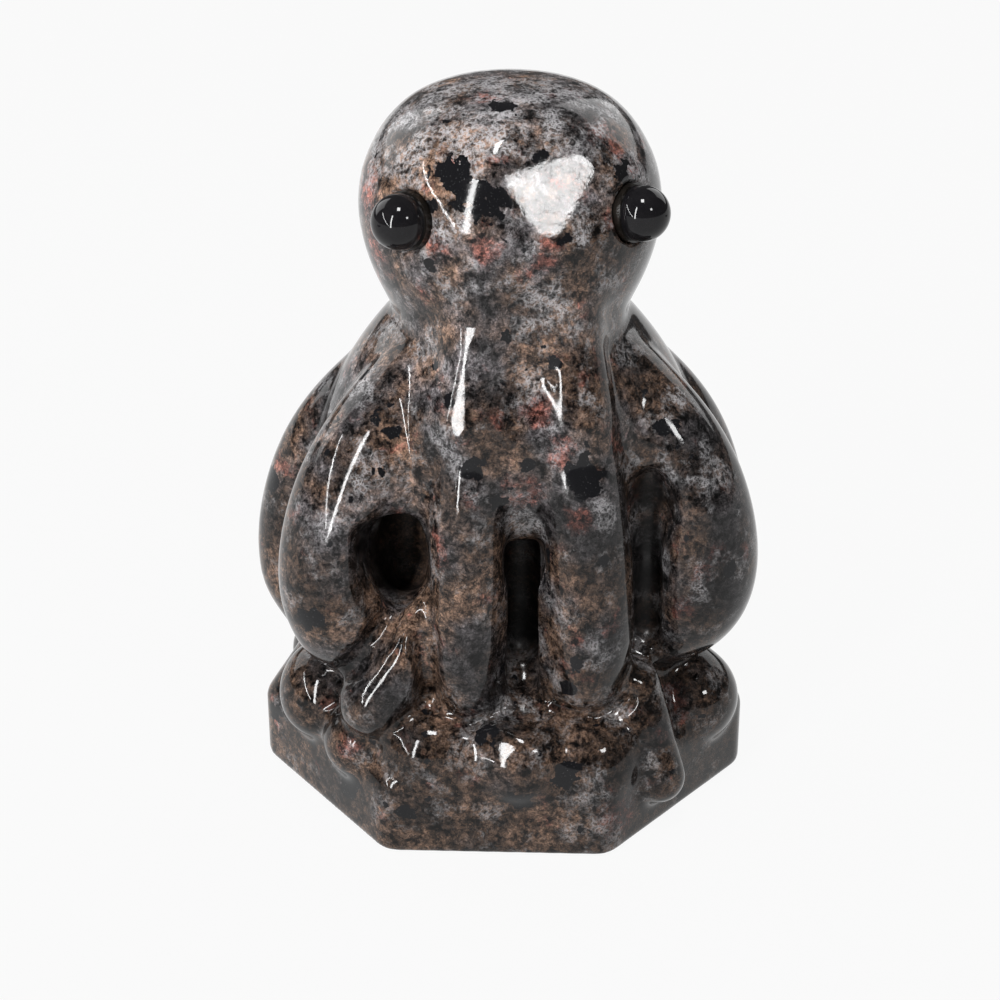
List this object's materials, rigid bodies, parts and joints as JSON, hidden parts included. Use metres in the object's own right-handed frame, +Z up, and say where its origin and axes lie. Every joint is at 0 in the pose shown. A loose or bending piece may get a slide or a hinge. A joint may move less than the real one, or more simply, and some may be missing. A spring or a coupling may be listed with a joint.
{
  "type": "octopus figurine",
  "caption": "Carved and polished speckled stone octopus on a six-sided foot, with set-in black bead eyes; a free-standing desk or shelf ornament.",
  "frame": {"origin": "on the flat underside of the foot, below the middle of the head", "axes": "+Z up through the head, the face looks along -Y, +X on the right of someone who faces the figure"},
  "size_m": [0.059, 0.0459, 0.0832],
  "materials": {
    "stone": "polished, dark grey-brown with pale, rust and black grains",
    "eye_bead": "opaque black, polished",
    "adhesive": "cured clear-dark adhesive, glossy"
  },
  "bodies": {
    "root": {"stone_carving": "stone", "left_eye_bead": "eye_bead", "right_eye_bead": "eye_bead", "left_eye_adhesive": "adhesive", "right_eye_adhesive": "adhesive"}
  },
  "joints": []
}
